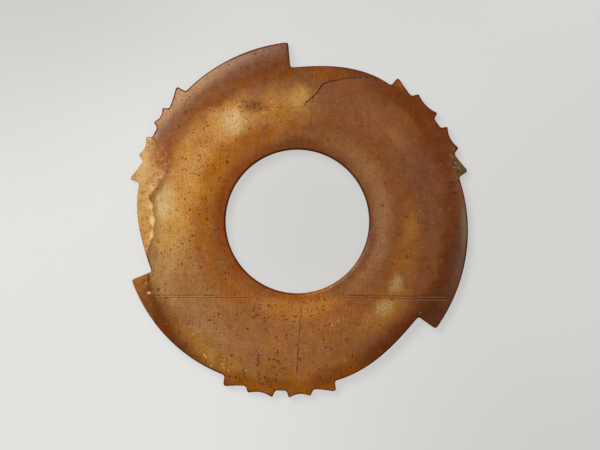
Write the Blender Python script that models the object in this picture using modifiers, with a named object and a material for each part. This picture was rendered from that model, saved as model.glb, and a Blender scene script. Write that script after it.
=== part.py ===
"""Notched disc of brown jade, one stone, lying on its back.

A flat ring with a round hole. Its rim is cut into three arms that grow outwards clockwise,
each ending in a hooked step, with a group of small carved teeth near the middle of each arm.
Metres, +Z up. The hole's centre is over the origin, and the underside lies on z = 0.
"""

import math

import bmesh
import bpy

for old in list(bpy.data.objects):
    bpy.data.objects.remove(old)

# The hole, drilled from both faces so that it is narrowest inside.
HOLE_RADIUS = 0.0300
HOLE_FLARE = 0.0005

# The ring's widths, all measured outwards from the hole: to the foot of the arms, to the
# crest of the upper face, and to the edge of the band that is ground flat underneath.
RING_WIDTH = 0.0345
CREST_FROM_HOLE = 0.0150
BAND_WIDTH = 0.0300

# Thickness at the hole, at the crest and at the outermost rim, and how far the underside
# rises from the flat band to the rim.
HOLE_EDGE_THICKNESS = 0.0052
CREST_THICKNESS = 0.0066
RIM_THICKNESS = 0.0020
RIM_LIFT = 0.0010

# How the upper face falls away from the crest: 2 is a plain round curve, and a higher power
# stays flat for longer and drops at the end.
FALL_TO_HOLE = 2.0
FALL_TO_RIM = 3.0

# The arms, in the order right, lower and left. Angles run clockwise seen from above, and
# the left arm takes what turn the other two leave. Each rise is the height of the rim
# over the foot of the arms: where the teeth begin, where they end, and at the hook's tip.
FIRST_FACE_DEG = 92.6
ARM_SPAN_DEG = (130.8, 122.8)
TEETH_BEGIN_RISE = (0.0047, 0.0041, 0.0036)
TEETH_END_RISE = (0.0057, 0.0068, 0.0073)
TIP_RISE = (0.0090, 0.0092, 0.0108)
BEGIN_BULGE = (0.0004, -0.0003, 0.0)
END_BULGE = (0.0003, 0.0006, 0.00015)
HOOK_LEAN = 0.0004
HOOK_ROUND = 0.0016
FOOT_ROUND = 0.0005

# The teeth, measured along the rim from the middle of the notch and out from the land
# that they stand on. The sizes in pairs are those before and after the notch, clockwise.
NOTCH_TURN_DEG = (57.6, 57.3, 51.0)
LAND_BULGE = (0.0011, 0.0008, -0.0005)
NOTCH_WIDTH = 0.0047
NOTCH_DEPTH = (0.0027, 0.0031, 0.0026)
NOTCH_LEAN = 0.0009
INNER_TOOTH_WIDTH = ((0.0116, 0.0104), (0.0096, 0.0107), (0.0089, 0.0076))
INNER_TOOTH_HEIGHT = 0.0036
INNER_TOOTH_HOLLOW = 0.0015
STEP_WIDTH = 0.0014
STEP_HEIGHT = 0.0010
OUTER_TOOTH_WIDTH = (0.0091, 0.0086)
OUTER_TOOTH_HEIGHT = 0.0040
OUTER_TOOTH_TIP = 0.0010
OUTER_TOOTH_LEAN = (0.0004, 0.0012)
OUTER_TOOTH_SWEEP = 1.45
TOOTH_ROUND = 0.0005

# Old flake scars in the upper face: how deep they go, and their inner edges as pairs of
# the angle in degrees from +X and the distance in from the foot of the arms.
SCAR_DEPTH = 0.0005
SCARS = {
    "left_scar": (
        (149.0, -0.0080),
        (151.5, -0.0020),
        (153.0, 0.0025),
        (156.5, 0.0038),
        (159.5, 0.0050),
        (163.5, 0.0036),
        (169.0, 0.0013),
        (173.5, 0.0037),
        (178.0, 0.0041),
        (183.0, 0.0040),
        (187.5, 0.0020),
        (191.5, -0.0050),
    ),
    "hook_scar": (
        (197.0, 0.0010),
        (200.0, -0.0020),
        (204.5, -0.0048),
        (207.5, -0.0042),
        (210.5, -0.0068),
        (215.0, -0.0070),
        (217.0, -0.0120),
    ),
    "tooth_scar": (
        (15.0, -0.0120),
        (16.5, -0.0060),
        (20.5, -0.0055),
        (22.0, -0.0120),
    ),
}

# How finely the curves are divided, and from what angle an edge is left sharp.
TURN_STEPS = 96
ARM_STEP_DEG = 2.4
PROFILE_STEPS = 7
HOLLOW_STEPS = 6
ROUND_STEPS = 4
SHARP_EDGE_DEG = 30.0

# The most of a side that a rounding at its end may take.
MOST_OF_SIDE = 0.45

# How far a cutter reaches past what it cuts, and the distance within which points are one.
CUTTER_MARGIN = 0.0020
WELD_DISTANCE = 0.000001

JADE_COLOUR = (0.27, 0.105, 0.034, 1.0)
JADE_ROUGHNESS = 0.35

ARMS = range(len(TIP_RISE))
FOOT_RADIUS = HOLE_RADIUS + RING_WIDTH
CREST_RADIUS = HOLE_RADIUS + CREST_FROM_HOLE
BAND_RADIUS = HOLE_RADIUS + BAND_WIDTH
TOOL_TOP = CREST_THICKNESS + RIM_LIFT + CUTTER_MARGIN


def polar(angle_deg, radius):
    """The point at this angle from +X and this distance from the hole's centre."""
    angle = math.radians(angle_deg)
    return radius * math.cos(angle), radius * math.sin(angle)


def bulged(start, end, bulge, share):
    """A value on the way from start to end, raised by the bulge at half way."""
    return start + (end - start) * share + 4.0 * bulge * share * (1.0 - share)


def arm_span(arm):
    """The turn in degrees from this arm's face to the next."""
    return (*ARM_SPAN_DEG, 360.0 - sum(ARM_SPAN_DEG))[arm]


def face_angle(arm):
    """The angle from +X of the hook face that this arm starts at."""
    return FIRST_FACE_DEG - sum(arm_span(earlier) for earlier in range(arm))


def along_rim(arm, distance):
    """The turn in degrees that a distance along the rim makes near this arm's teeth."""
    middle = (TEETH_BEGIN_RISE[arm] + TEETH_END_RISE[arm]) / 2.0
    return math.degrees(distance / (FOOT_RADIUS + middle))


def half_group_width(arm, side):
    """The distance from the notch's middle to the end of the group, before or after it."""
    inner_tooth = INNER_TOOTH_WIDTH[arm][side]
    outer_tooth = OUTER_TOOTH_WIDTH[side] + OUTER_TOOTH_LEAN[side]
    return NOTCH_WIDTH / 2.0 + inner_tooth + STEP_WIDTH + outer_tooth


def group_turns(arm):
    """The turns from the arm's face at which its group of teeth begins and ends."""
    begin = NOTCH_TURN_DEG[arm] - along_rim(arm, half_group_width(arm, 0))
    end = NOTCH_TURN_DEG[arm] + along_rim(arm, half_group_width(arm, 1))
    return begin, end


def land_radius(arm, turn):
    """The radius of the land under the teeth at this turn from the arm's face."""
    begin, end = group_turns(arm)
    share = (turn - begin) / (end - begin)
    rise = bulged(TEETH_BEGIN_RISE[arm], TEETH_END_RISE[arm], LAND_BULGE[arm], share)
    return FOOT_RADIUS + rise


def half_group(arm, side):
    """Corners of the teeth on one side of the notch, from the notch outwards, as
    distance along the rim, height over the land and rounding."""
    inner_edge = NOTCH_WIDTH / 2.0
    first_tip = inner_edge + NOTCH_LEAN
    second_tip = inner_edge + INNER_TOOTH_WIDTH[arm][side]
    corners = [
        (inner_edge, INNER_TOOTH_HEIGHT - NOTCH_DEPTH[arm], FOOT_ROUND),
        (first_tip, INNER_TOOTH_HEIGHT, TOOTH_ROUND),
    ]
    for step in range(1, HOLLOW_STEPS):
        share = step / HOLLOW_STEPS
        height = bulged(INNER_TOOTH_HEIGHT, INNER_TOOTH_HEIGHT, -INNER_TOOTH_HOLLOW, share)
        corners.append((first_tip + (second_tip - first_tip) * share, height, 0.0))
    corners.append((second_tip, INNER_TOOTH_HEIGHT, TOOTH_ROUND))
    foot = second_tip + STEP_WIDTH
    corners.append((foot, STEP_HEIGHT, FOOT_ROUND))
    slope = OUTER_TOOTH_WIDTH[side] - OUTER_TOOTH_TIP
    for step in range(1, HOLLOW_STEPS):
        share = step / HOLLOW_STEPS
        rise = (OUTER_TOOTH_HEIGHT - STEP_HEIGHT) * share**OUTER_TOOTH_SWEEP
        corners.append((foot + slope * share, STEP_HEIGHT + rise, 0.0))
    corners.append((foot + slope, OUTER_TOOTH_HEIGHT, TOOTH_ROUND))
    corners.append((foot + OUTER_TOOTH_WIDTH[side], OUTER_TOOTH_HEIGHT, TOOTH_ROUND))
    corners.append((half_group_width(arm, side), 0.0, FOOT_ROUND))
    return corners


def arm_corners(arm):
    """Corners of one arm, clockwise from the foot of its hook face to the next hook's tip."""
    start = face_angle(arm)
    begin, end = group_turns(arm)
    span = arm_span(arm)
    corners = [(*polar(start, FOOT_RADIUS), FOOT_ROUND)]

    steps = math.ceil(begin / ARM_STEP_DEG)
    for step in range(1, steps):
        share = step / steps
        rise = TEETH_BEGIN_RISE[arm] * share**2 * (3.0 - 2.0 * share)
        rise += bulged(0.0, 0.0, BEGIN_BULGE[arm], share)
        corners.append((*polar(start - begin * share, FOOT_RADIUS + rise), 0.0))

    before = [(-along, height, edge) for along, height, edge in reversed(half_group(arm, 0))]
    for along, height, edge in before + half_group(arm, 1):
        turn = NOTCH_TURN_DEG[arm] + along_rim(arm, along)
        radius = land_radius(arm, turn) + height
        corners.append((*polar(start - turn, radius), edge))

    steps = math.ceil((span - end) / ARM_STEP_DEG)
    for step in range(1, steps + 1):
        share = step / steps
        rise = bulged(TEETH_END_RISE[arm], TIP_RISE[arm], END_BULGE[arm], share)
        turn = end + (span - end) * share
        edge = 0.0
        if step == steps:
            turn -= math.degrees(HOOK_LEAN / FOOT_RADIUS)
            edge = HOOK_ROUND
        corners.append((*polar(start - turn, FOOT_RADIUS + rise), edge))
    return corners


def rounded(corners):
    """The outline through the corners, each with a rounding turned into a short arc."""
    outline = []
    for index, (x, y, size) in enumerate(corners):
        if size == 0.0:
            outline.append((x, y))
            continue
        before = corners[index - 1]
        after = corners[(index + 1) % len(corners)]
        to_before = math.dist((x, y), before[:2])
        to_after = math.dist((x, y), after[:2])
        reach = min(size, MOST_OF_SIDE * to_before, MOST_OF_SIDE * to_after)
        first = [a + (b - a) * reach / to_before for a, b in zip((x, y), before)]
        last = [a + (b - a) * reach / to_after for a, b in zip((x, y), after)]
        for step in range(ROUND_STEPS + 1):
            share = step / ROUND_STEPS
            weights = ((1 - share) ** 2, 2 * share * (1 - share), share**2)
            outline.append(
                tuple(
                    weights[0] * a + weights[1] * b + weights[2] * c
                    for a, b, c in zip(first, (x, y), last)
                )
            )
    return outline


def rim_outline():
    """The whole rim, clockwise, as points in the plane."""
    return rounded([corner for arm in ARMS for corner in arm_corners(arm)])


RIM = rim_outline()
BLANK_RADIUS = max(math.hypot(x, y) for x, y in RIM) + CUTTER_MARGIN


def underside(radius):
    """The height of the lower face at this radius."""
    share = max(0.0, (radius - BAND_RADIUS) / (BLANK_RADIUS - BAND_RADIUS))
    return RIM_LIFT * share**2


def upper_face(radius):
    """The height of the upper face at this radius, with its crest near the middle."""
    if radius < CREST_RADIUS:
        end, thickness, power = HOLE_RADIUS, HOLE_EDGE_THICKNESS, FALL_TO_HOLE
    else:
        end, thickness, power = BLANK_RADIUS, RIM_THICKNESS, FALL_TO_RIM
    share = (radius - CREST_RADIUS) / (end - CREST_RADIUS)
    return underside(radius) + CREST_THICKNESS + (thickness - CREST_THICKNESS) * share**power


def evenly(first, last, steps):
    """Numbers from first to last in equal steps, with both ends."""
    return [first + (last - first) * step / steps for step in range(steps + 1)]


def blank_profile():
    """The ring's cross-section, from the hole over the crest, down the outside and back."""
    flared = HOLE_RADIUS + HOLE_FLARE
    radii = evenly(flared, CREST_RADIUS, PROFILE_STEPS)
    radii += evenly(CREST_RADIUS, BLANK_RADIUS, PROFILE_STEPS)[1:]
    top = [(radius, upper_face(radius)) for radius in radii]
    rise = evenly(BLANK_RADIUS, BAND_RADIUS, PROFILE_STEPS)
    bottom = [(radius, underside(radius)) for radius in (*rise, flared)]
    waist = (HOLE_RADIUS, HOLE_EDGE_THICKNESS / 2.0)
    return top + bottom + [waist]


def collection(name):
    """A new collection in the scene."""
    made = bpy.data.collections.new(name)
    bpy.context.scene.collection.children.link(made)
    return made


def turned(name, profile, home):
    """A ring turned from a closed profile."""
    mesh = bpy.data.meshes.new(name)
    shape = bmesh.new()
    points = [shape.verts.new((radius, 0.0, height)) for radius, height in profile]
    for first, second in zip(points, points[1:] + points[:1]):
        shape.edges.new((first, second))
    shape.to_mesh(mesh)
    shape.free()
    ring = bpy.data.objects.new(name, mesh)
    home.objects.link(ring)
    screw = ring.modifiers.new("Turned", "SCREW")
    screw.axis = "Z"
    screw.steps = TURN_STEPS
    screw.render_steps = TURN_STEPS
    screw.use_merge_vertices = False
    return ring


def extruded(name, outline, low, high, home):
    """A mesh of the flat outline, filled and standing from low to high."""
    curve = bpy.data.curves.new(name, "CURVE")
    curve.dimensions = "2D"
    curve.fill_mode = "BOTH"
    curve.extrude = (high - low) / 2.0
    spline = curve.splines.new("POLY")
    spline.points.add(len(outline) - 1)
    for point, (x, y) in zip(spline.points, outline):
        point.co = (x, y, 0.0, 1.0)
    spline.use_cyclic_u = True
    flat = bpy.data.objects.new(name + "_curve", curve)
    flat.location.z = (low + high) / 2.0
    home.objects.link(flat)
    bpy.context.view_layer.update()

    graph = bpy.context.evaluated_depsgraph_get()
    mesh = bpy.data.meshes.new_from_object(flat.evaluated_get(graph))
    shape = bmesh.new()
    shape.from_mesh(mesh)
    bmesh.ops.remove_doubles(shape, verts=shape.verts, dist=WELD_DISTANCE)
    bmesh.ops.recalc_face_normals(shape, faces=shape.faces)
    shape.to_mesh(mesh)
    shape.free()
    solid = bpy.data.objects.new(name, mesh)
    solid.matrix_world = flat.matrix_world
    home.objects.link(solid)
    bpy.data.objects.remove(flat)
    bpy.data.curves.remove(curve)
    return solid


def boolean(target, tool, operation):
    """Cuts the target with the tool, or keeps what they share."""
    modifier = target.modifiers.new(tool.name, "BOOLEAN")
    modifier.operation = operation
    modifier.solver = "EXACT"
    modifier.object = tool


def scar_floor(home):
    """A ring whose upper face is the floor that all the scars share."""
    reach = BLANK_RADIUS + 2.0 * CUTTER_MARGIN
    radii = evenly(CREST_RADIUS, reach, PROFILE_STEPS)
    top = [(radius, upper_face(radius) - SCAR_DEPTH) for radius in radii]
    below = -2.0 * CUTTER_MARGIN
    return turned("scar_floor", top + [(reach, below), (CREST_RADIUS, below)], home)


def flake(name, inner_edge, floor, home):
    """What came off in one scar: all that lies over the floor, from its edge to past the rim."""
    edge = [polar(angle, FOOT_RADIUS - inset) for angle, inset in inner_edge]
    outer = BLANK_RADIUS + CUTTER_MARGIN
    back = [polar(angle, outer) for angle, _ in reversed(inner_edge)]
    shard = extruded(name, edge + back, -CUTTER_MARGIN, TOOL_TOP, home)
    boolean(shard, floor, "DIFFERENCE")
    return shard


def jade():
    """Brown nephrite with a soft polish."""
    material = bpy.data.materials.new("jade")
    material.use_nodes = True
    shader = material.node_tree.nodes["Principled BSDF"]
    shader.inputs["Base Color"].default_value = JADE_COLOUR
    shader.inputs["Roughness"].default_value = JADE_ROUGHNESS
    shader.inputs["Metallic"].default_value = 0.0
    material.diffuse_color = JADE_COLOUR
    return material


def settle(piece):
    """Makes the piece's cuts final and shades it smooth between its sharp edges."""
    graph = bpy.context.evaluated_depsgraph_get()
    mesh = bpy.data.meshes.new_from_object(piece.evaluated_get(graph))
    piece.modifiers.clear()
    piece.data = mesh
    mesh.shade_smooth()
    mesh.set_sharp_from_angle(angle=math.radians(SHARP_EDGE_DEG))


def notched_disc(home, tools):
    """The disc: a turned blank cut to the rim's outline, less what the flakes took."""
    disc = turned("notched_disc", blank_profile(), home)
    disc.data.materials.append(jade())
    rim = extruded("rim", RIM, -CUTTER_MARGIN, TOOL_TOP, tools)
    boolean(disc, rim, "INTERSECT")
    floor = scar_floor(tools)
    for name, edge in SCARS.items():
        boolean(disc, flake(name, edge, floor, tools), "DIFFERENCE")
    settle(disc)


TOOLS = collection("Cutters")
notched_disc(collection("Notched disc"), TOOLS)
for tool in TOOLS.objects:
    tool.hide_render = True
    tool.display_type = "WIRE"
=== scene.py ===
"""A notched disc of brown jade lying on a pale light table, seen from straight above."""

import random

import bpy
import numpy as np
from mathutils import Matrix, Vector


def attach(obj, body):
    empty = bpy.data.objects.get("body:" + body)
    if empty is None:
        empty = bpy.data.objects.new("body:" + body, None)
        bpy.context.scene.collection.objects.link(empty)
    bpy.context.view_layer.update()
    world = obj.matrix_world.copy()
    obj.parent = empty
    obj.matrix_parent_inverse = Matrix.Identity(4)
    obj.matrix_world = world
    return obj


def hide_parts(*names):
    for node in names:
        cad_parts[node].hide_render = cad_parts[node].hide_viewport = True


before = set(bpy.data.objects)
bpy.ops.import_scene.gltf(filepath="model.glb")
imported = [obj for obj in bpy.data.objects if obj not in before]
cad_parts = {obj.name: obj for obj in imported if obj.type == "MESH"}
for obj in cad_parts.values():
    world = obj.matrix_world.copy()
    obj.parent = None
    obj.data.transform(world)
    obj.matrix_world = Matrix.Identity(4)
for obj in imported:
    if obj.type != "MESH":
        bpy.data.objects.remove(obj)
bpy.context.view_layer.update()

# The body of the disc. The real one is a slab of brown nephrite, sawn flat, drilled through,
# ground to a low crown and rubbed with wet grit until every edge is softly round.
# The carved solid is merged and remeshed finely, so that it can take the marks that follow.
MM = 0.001
BODY_GRAIN = 0.52 * MM
EDGE_SOFTENING = 2                          # rounds of smoothing
FLAT_BELOW = -0.9999                        # what faces down as squarely as this is underside
THINNED_TO = 0.55                           # share of all triangles left once those are thinned
MERGE_REACH = 0.01 * MM

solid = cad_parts["notched_disc"]
disc = bpy.data.objects.new("jade_disc", solid.data.copy())
bpy.context.scene.collection.objects.link(disc)
bpy.ops.object.select_all(action="DESELECT")
bpy.context.view_layer.objects.active = disc
disc.select_set(True)

bpy.ops.object.mode_set(mode="EDIT")
bpy.ops.mesh.select_all(action="SELECT")
bpy.ops.mesh.remove_doubles(threshold=MERGE_REACH)
bpy.ops.object.mode_set(mode="OBJECT")


def shaped_by(piece, kind, **settings):
    """Adds one modifier to the piece and applies it."""
    modifier = piece.modifiers.new(kind.title(), kind)
    for name, value in settings.items():
        setattr(modifier, name, value)
    bpy.ops.object.modifier_apply(modifier=modifier.name)


def points_of(mesh):
    """Every vertex of the mesh as one row of an array."""
    flat = np.empty(len(mesh.vertices) * 3, np.float32)
    mesh.vertices.foreach_get("co", flat)
    return flat.reshape(-1, 3)


def upward(mesh):
    """How far each vertex faces up: 1 on the crown, 0 on the walls, -1 underneath."""
    flat = np.empty(len(mesh.vertices) * 3, np.float32)
    mesh.vertex_normals.foreach_get("vector", flat)
    return flat.reshape(-1, 3)[:, 2]


def set_points(mesh, points):
    """Moves every vertex of the mesh to its row of the array."""
    mesh.vertices.foreach_set("co", np.ascontiguousarray(points, np.float32).ravel())
    mesh.update()


def eased(value, start, end):
    """0 at start, 1 at end, and a smooth rise between them."""
    share = np.clip((value - start) / (end - start), 0.0, 1.0)
    return share * share * (3.0 - 2.0 * share)


def grouped(piece, name, weights):
    """Gives the piece a vertex group with one weight for each vertex, in steps of a tenth."""
    group = piece.vertex_groups.new(name=name)
    steps = np.round(weights * 10).astype(int)
    for step in range(1, 11):
        group.add(np.flatnonzero(steps == step).tolist(), step / 10, "REPLACE")
    return name


shaped_by(disc, "REMESH", mode="VOXEL", voxel_size=BODY_GRAIN, use_smooth_shade=True)
shaped_by(disc, "SMOOTH", factor=0.5, iterations=EDGE_SOFTENING)
underside = grouped(disc, "underside", (upward(disc.data) < FLAT_BELOW).astype(float))
shaped_by(disc, "DECIMATE", ratio=THINNED_TO, vertex_group=underside)

# The crown is a low curve that rises from the hole and falls away to the rim. Points that
# lie next to the curve are set on it, which takes out the facets of the turned solid.
HOLE_RADIUS = 30.0 * MM
CREST_RADIUS = 45.0 * MM
BAND_RADIUS = 60.0 * MM
BLANK_RADIUS = 77.585 * MM
CREST_HEIGHT = 6.6 * MM
HOLE_EDGE_HEIGHT = 5.2 * MM
RIM_THICKNESS = 2.0 * MM
RIM_LIFT = 1.0 * MM
SET_ON_CURVE, LEFT_ALONE = 0.07 * MM, 0.14 * MM       # how far from the curve a point lies
CROWN_LEVELS = (0.93, 0.99)                 # how level the crown is, from its edge inwards
RUBBING_GRAIN = 18.0 * MM
RUBBING_RELIEF = 0.06 * MM


def crown_height(points):
    """The height of the crown's curve over each point."""
    radius = np.hypot(points[:, 0], points[:, 1])
    inner = (np.maximum(CREST_RADIUS - radius, 0.0) / (CREST_RADIUS - HOLE_RADIUS)) ** 2
    outer = (np.maximum(radius - CREST_RADIUS, 0.0) / (BLANK_RADIUS - CREST_RADIUS)) ** 3
    lift = (np.maximum(radius - BAND_RADIUS, 0.0) / (BLANK_RADIUS - BAND_RADIUS)) ** 2
    inner_fall = inner * (CREST_HEIGHT - HOLE_EDGE_HEIGHT)
    return CREST_HEIGHT - inner_fall - outer * (CREST_HEIGHT - RIM_THICKNESS) + lift * RIM_LIFT


points = points_of(disc.data)
below_curve = crown_height(points) - points[:, 2]
pulled = eased(np.abs(below_curve), LEFT_ALONE, SET_ON_CURVE)
points[:, 2] += below_curve * pulled
set_points(disc.data, points)

# Rubbing by hand leaves the crown a little uneven.
rubbing = bpy.data.textures.new("rubbing", "CLOUDS")
rubbing.noise_scale = RUBBING_GRAIN
rubbing.noise_depth = 0
crown = grouped(disc, "crown", eased(upward(disc.data), *CROWN_LEVELS))
shaped_by(disc, "DISPLACE", texture=rubbing, texture_coords="LOCAL", direction="Z",
          strength=RUBBING_RELIEF, mid_level=0.9, vertex_group=crown)

# The stone: nephrite, a tough felted jade, ground and polished by hand to a waxy gloss. It
# gives the eye soft-edged clouds from dark red brown to pale honey, a fine mottled grain, dark
# specks of iron and a few cream flecks.
nephrite = bpy.data.materials.new("polished_nephrite")
nephrite.use_nodes = True
tree = nephrite.node_tree
shader = tree.nodes["Principled BSDF"]


def linear(hex_colour, alpha=1.0):
    """An sRGB hex colour as the linear one that a shader takes."""
    channels = [int(hex_colour[start : start + 2], 16) / 255.0 for start in (1, 3, 5)]
    bent = [c / 12.92 if c <= 0.04045 else ((c + 0.055) / 1.055) ** 2.4 for c in channels]
    return (*bent, alpha)


def add(kind, sockets, **settings):
    """Adds a node with its settings. A socket takes a value, or a link from another node."""
    made = tree.nodes.new(kind)
    for name, value in settings.items():
        setattr(made, name, value)
    for name, value in sockets.items():
        if isinstance(value, bpy.types.NodeSocket):
            tree.links.new(value, made.inputs[name])
        else:
            made.inputs[name].default_value = value
    return made


IN_MM = (1000.0, 1000.0, 1000.0)
IN_MM_FROM_ABOVE = (1000.0, 1000.0, 0.0)
MIDDLE_GREY = (0.5, 0.5, 0.5)
WANDER_GRAIN = 9.0
WANDER_REACH = (6.5, 6.5, 0.0)              # how far the clouds' outlines wander, in millimetres
object_place = add("ShaderNodeTexCoord", {}).outputs["Object"]
place = add("ShaderNodeMapping", {"Vector": object_place, "Scale": IN_MM_FROM_ABOVE}).outputs[0]
in_stone = add("ShaderNodeMapping", {"Vector": object_place, "Scale": IN_MM}).outputs[0]


def noise(where, grain, detail, **sockets):
    """Cloudy noise whose lumps are about as large as the grain, in millimetres."""
    return add("ShaderNodeTexNoise", {
        "Vector": where, "Scale": 1 / grain, "Detail": detail, **sockets}).outputs


def shaken(noise_colour, reach):
    """The place seen from above, moved about by a noise, as far as the reach says."""
    offset = add("ShaderNodeVectorMath", {0: noise_colour, 1: MIDDLE_GREY}, operation="SUBTRACT")
    return add("ShaderNodeVectorMath", {0: offset.outputs[0], 1: reach, 2: place},
               operation="MULTIPLY_ADD").outputs[0]


wandering = shaken(noise(place, WANDER_GRAIN, 6.0, Roughness=0.62)["Color"], WANDER_REACH)
radius = add("ShaderNodeVectorMath", {0: wandering}, operation="LENGTH").outputs["Value"]
east_and_north = add("ShaderNodeSeparateXYZ", {0: wandering}).outputs
angle = add("ShaderNodeMath", {0: east_and_north[1], 1: east_and_north[0]}, operation="ARCTAN2")
angle = add("ShaderNodeMath", {0: angle.outputs[0]}, operation="DEGREES").outputs[0]
OVAL_RIM, OVAL_HEART = 1.0, 0.2             # where a spot begins and is full, as shares of it


def ranged(value, start, end, low=0.0, high=1.0, **settings):
    """A value carried from the range start to end over to the range low to high."""
    return add("ShaderNodeMapRange", {
        "Value": value, "From Min": start, "From Max": end, "To Min": low, "To Max": high,
    }, **settings).outputs[0]


def oval(where, middle, reach, strength):
    """A soft oval spot: its strength at each place, from none at its rim to all at its heart."""
    offset = add("ShaderNodeVectorMath", {0: where, 1: (*middle, 0.0)}, operation="SUBTRACT")
    scaled = add("ShaderNodeVectorMath", {0: offset.outputs[0], 1: (*reach, 1.0)},
                 operation="DIVIDE")
    distance = add("ShaderNodeVectorMath", {0: scaled.outputs[0]}, operation="LENGTH")
    return ranged(distance.outputs["Value"], OVAL_RIM, OVAL_HEART, 0.0, strength,
                  interpolation_type="SMOOTHSTEP")


RING_TONES = (
    # radius in millimetres, colour
    (30.0, "#6f4324"),
    (35.0, "#845430"),
    (39.0, "#7f4f2b"),
    (43.0, "#7b4724"),
    (52.0, "#7a4926"),
    (58.0, "#764627"),
    (63.0, "#713e1a"),
    (68.0, "#65320d"),
    (75.0, "#65330f"),
)
innermost, outermost = RING_TONES[0][0], RING_TONES[-1][0]


def ramp(share, tones, first, last):
    """A colour ramp over pairs of a value and a hex tone, for shares from first to last."""
    made = add("ShaderNodeValToRGB", {"Fac": share})
    for number, (value, tone) in enumerate(tones):
        position = (value - first) / (last - first)
        if 0 < number < len(tones) - 1:
            stop = made.color_ramp.elements.new(position)
        else:
            stop = made.color_ramp.elements[0 if number == 0 else -1]
        stop.position = position
        stop.color = linear(tone)
    return made.outputs["Color"]


ring_share = ranged(radius, innermost, outermost)
colour = ramp(ring_share, RING_TONES, innermost, outermost)

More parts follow.
